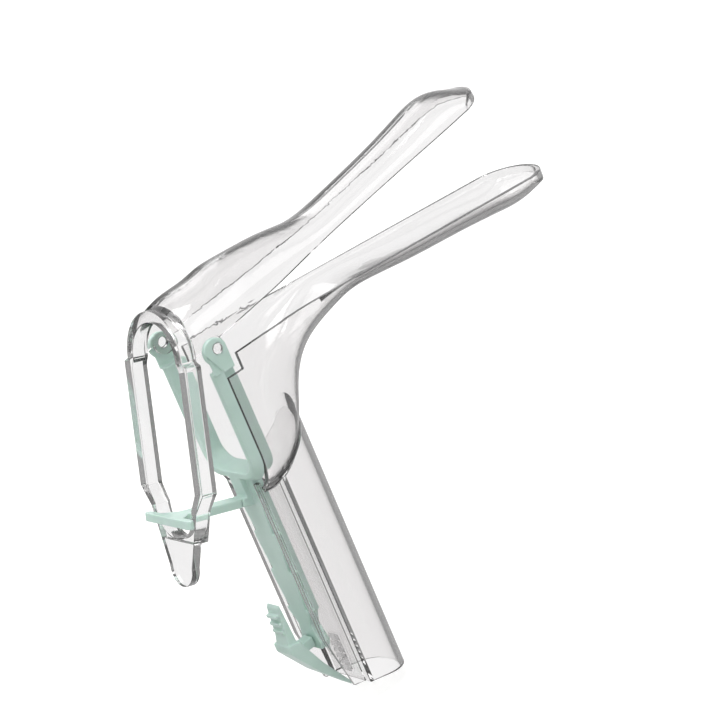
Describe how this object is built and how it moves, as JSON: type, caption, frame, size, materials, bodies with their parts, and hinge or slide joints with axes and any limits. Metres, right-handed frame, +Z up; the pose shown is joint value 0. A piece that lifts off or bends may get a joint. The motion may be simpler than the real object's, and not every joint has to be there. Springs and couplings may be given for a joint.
{
  "type": "vaginal speculum",
  "caption": "Clear plastic bivalve speculum with a mint sliding yoke, lever frame, strap lock and ratchet latch; hinged upper blade over a handled lower blade.",
  "frame": {"origin": "middle of the blades' pivot axis with the yoke at its lowest", "axes": "+X forwards to the blade tips, +Y to the left, +Z up along the handle"},
  "size_m": [0.1963, 0.0388, 0.1726],
  "materials": {
    "clear_plastic": "clear moulded plastic, polished",
    "mint_plastic": "pale mint moulded plastic, satin"
  },
  "bodies": {
    "lower": {"lower_blade": "clear_plastic"},
    "yoke": {"yoke": "mint_plastic"},
    "upper": {"upper_blade": "clear_plastic"},
    "strap": {"angle_strap": "mint_plastic"},
    "latch": {"release_latch": "mint_plastic"}
  },
  "joints": [
    {"name": "yoke_slide", "type": "slide", "parent": "lower", "child": "yoke", "axis": [0, 0, 1], "range_m": [0, 0.025]},
    {"name": "blade_hinge", "type": "hinge", "parent": "yoke", "child": "upper", "pos_m": [0, 0, 0], "axis": [0, -1, 0], "range_deg": [0, 16]},
    {"name": "strap_hinge", "type": "hinge", "parent": "yoke", "child": "strap", "pos_m": [-0.0062, 0, -0.058], "axis": [0, 1, 0], "range_deg": [0, 8]},
    {"name": "latch_hinge", "type": "hinge", "parent": "yoke", "child": "latch", "pos_m": [-0.0025, 0, -0.1143], "axis": [0, 1, 0], "range_deg": [0, 10], "stiffness_Nm_per_rad": 0.05}
  ]
}
